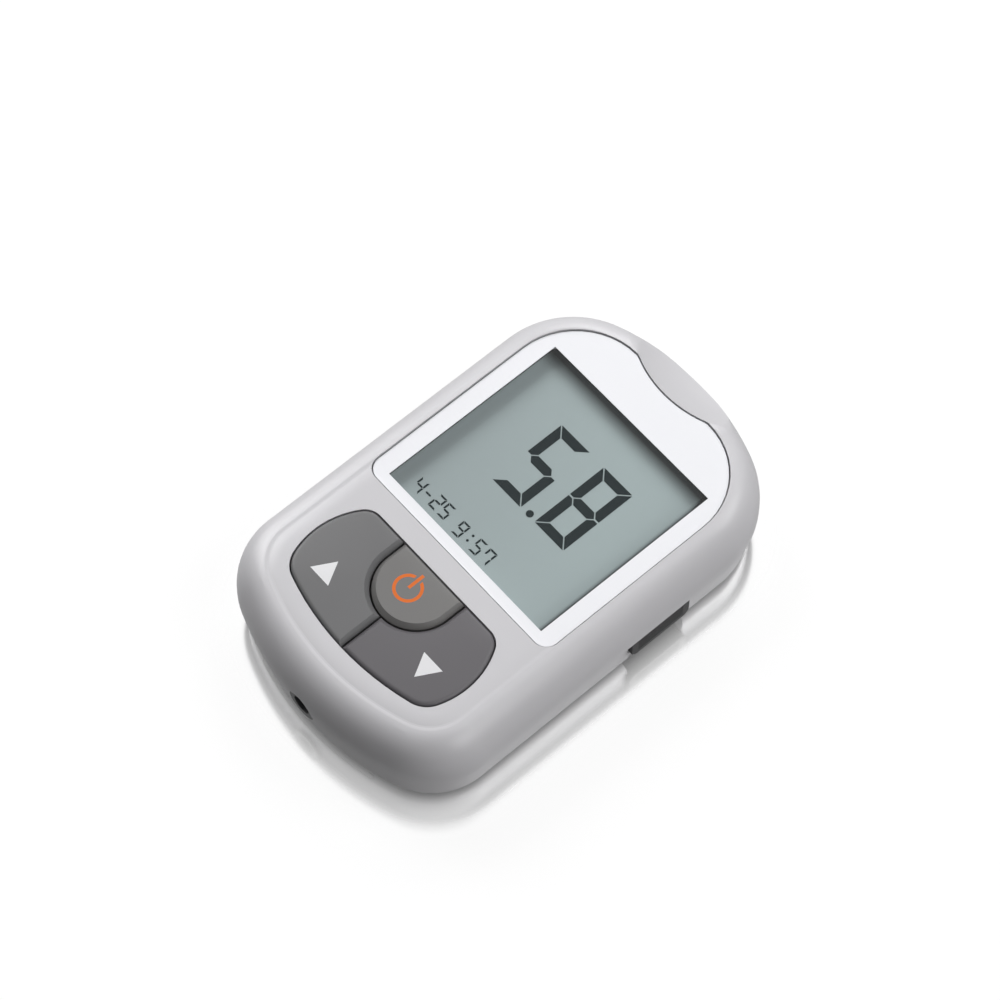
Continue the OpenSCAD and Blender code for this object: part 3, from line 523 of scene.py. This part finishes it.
def figure_strokes(width, height, thick, gap):
    """The seven strokes of a figure at the origin, in mm."""
    half = height / 2
    corner, middle, point = (0, thick / 2, thick), (0, 0, thick / 2), (thick / 2, 0, thick / 2)
    made = {}
    for key, (run, (x, y), thick_side) in STROKES.items():
        start, length, cuts = (x * width, y * half), width, (corner, corner)
        if key == "g":
            start, length, cuts = (thick / 2, half), width - thick, (point, point)
        elif run == "y":
            length, cuts = half, (middle, corner) if y == 1 else (corner, middle)
        made[key] = stroke(run, start, length, thick, thick_side, gap, cuts)
    return made


def write(masters, symbols):
    """Copies of the strokes that the symbols need, each symbol at its own place in mm."""
    made = []
    for symbol, (x, y) in symbols:
        for key in FIGURES[symbol]:
            copy = masters[key].copy()
            copy.data = masters[key].data.copy()
            bpy.context.collection.objects.link(copy)
            copy.location += Vector((x, y, 0)) * MM
            made.append(copy)
    return made


def print_figures(name, size, symbols, dots):
    """One piece of display ink, with its symbols and dots at their places in mm."""
    masters = figure_strokes(**size)
    pieces = write(masters, symbols) + [dot(centre, radius) for centre, radius in dots]
    settle(joined(pieces), name, ink, "housing")
    for piece in masters.values():
        bpy.data.objects.remove(piece)


print_figures(
    "display_reading",
    {"width": 7.1, "height": 15.4, "thick": 1.75, "gap": 0.15},
    (("5", (-8.05, 4.55)), ("8", (2.55, 4.55))),
    (((0.95, 4.95), 0.68),),
)
print_figures(
    "display_date_and_time",
    {"width": 1.75, "height": 2.95, "thick": 0.34, "gap": 0.07},
    (
        ("4", (-15.8, -6.75)),
        ("-", (-13.7, -6.75)),
        ("2", (-11.5, -6.6)),
        ("5", (-9.3, -6.6)),
        ("9", (-5.2, -6.95)),
        ("5", (-0.9, -6.95)),
        ("7", (1.5, -6.95)),
    ),
    (((-2.1, -4.75), 0.24), ((-2.1, -6.0), 0.24)),
)


# ---------------------------------------------------------------- camera, floor and light


# Camera: its height over the floor and its turn from -Y in degrees, its target and distance in mm, and its
# focal length in pixels of an image this wide
ELEVATION, AZIMUTH = 63.007, 48.957
TARGET, DISTANCE = (-3.11, 1.97, 18.5), 574.73
FOCAL_PX, IMAGE_PX = 3500, 1000
SENSOR_MM = 36


def camera():
    elevation, azimuth = math.radians(ELEVATION), math.radians(AZIMUTH)
    across = math.cos(elevation)
    back = Vector((math.sin(azimuth) * across, -math.cos(azimuth) * across, math.sin(elevation)))
    data = bpy.data.cameras.new("camera")
    data.sensor_width = SENSOR_MM
    data.lens = FOCAL_PX / IMAGE_PX * SENSOR_MM
    data.clip_start, data.clip_end = 0.01, 20
    made = bpy.data.objects.new("camera", data)
    bpy.context.collection.objects.link(made)
    made.location = (Vector(TARGET) + back * DISTANCE) * MM
    made.rotation_euler = (-back).to_track_quat("-Z", "Y").to_euler()
    bpy.context.scene.camera = made


def shown_ray(g, mirrored):
    """1 for a ray from the camera or through glass, and this much for one mirrored by a shiny face."""
    kinds = ("Camera", "Glossy", "Transmission")
    seen, glossy, through = (g.node("ShaderNodeLightPath", out="Is " + kind + " Ray") for kind in kinds)
    return (seen + mirrored * glossy + through).clamped()


# The floor's polish, its own grey, the white it shows to the camera and how much of that a shiny face
# mirrors. The polish fades out over a run in mm that ends this far outside the body.
MIRROR = 0.88
FLOOR_GREY = 0.15
FLOOR_WHITE = 1 - 0.8 * FLOOR_GREY
FLOOR_IN_GLOSS = 0.4
POLISH_REACH, POLISH_RUN = 6, 8
# How bright the world is for all but the camera
SKY = 0.03


def floor():
    """A pale polished floor: its own grey catches the shadow, and it shows white to the camera."""
    choose()
    bpy.ops.mesh.primitive_plane_add(size=6, location=(0, 0, 0))
    piece = bpy.context.object
    piece.name = "floor"
    g = Graph("polished_floor")
    shown = shown_ray(g, FLOOR_IN_GLOSS)
    x, y, _ = g.place()
    polish = MIRROR * ((rim_distance(x, y) + POLISH_REACH) / POLISH_RUN).clamped()
    g.set(Base_Color=(FLOOR_GREY,) * 3, Roughness=0.9, Specular_IOR_Level=0.0)
    g.set(Emission_Color=g.mix(shown, (0, 0, 0), (FLOOR_WHITE,) * 3), Emission_Strength=1.0)
    mirror = g.node("ShaderNodeBsdfGlossy", None, {"Color": (1, 1, 1), "Roughness": 0.12})
    grey = Value(g, g.shader.outputs[0])
    surface = g.node("ShaderNodeMixShader", None, {0: polish * shown, 1: grey, 2: mirror})
    g.put(g.output.inputs["Surface"], surface)
    piece.data.materials.append(g.material)


# Softboxes, all of one size and at one distance in metres: bearing from +X and height above the floor in
# degrees, and power in watts
LAMP_DISTANCE, LAMP_SIDE = 1.0, 0.5
LAMPS = (
    ("far_left_panel", 125, 36, 3.4),
    ("far_right_panel", 50, 40, 3.2),
    ("left_panel", 180, 40, 5.2),
    ("right_panel", 0, 30, 2.4),
    ("left_low_panel", 180, 12, 2.4),
    ("right_low_panel", 0, 10, 0.8),
    ("high_panel", 50, 66, 1.0),
)


def lamps():
    for name, bearing, height, power in LAMPS:
        turn, rise = math.radians(bearing), math.radians(height)
        across = math.cos(rise)
        place = Vector((math.cos(turn) * across, math.sin(turn) * across, math.sin(rise)))
        data = bpy.data.lights.new(name, "AREA")
        data.size = LAMP_SIDE
        data.energy = power
        made = bpy.data.objects.new(name, data)
        bpy.context.collection.objects.link(made)
        made.location = place * LAMP_DISTANCE
        made.rotation_euler = (-place).to_track_quat("-Z", "Y").to_euler()


def sky():
    """A dim world that shows white to the camera."""
    world = bpy.data.worlds.new("studio")
    bpy.context.scene.world = world
    g = Graph("studio", world)
    g.set(Color=g.mix(shown_ray(g, 1), (SKY,) * 3, (1, 1, 1)), Strength=1.0)


camera()
floor()
lamps()
sky()
bpy.context.scene.view_settings.view_transform = "Standard"
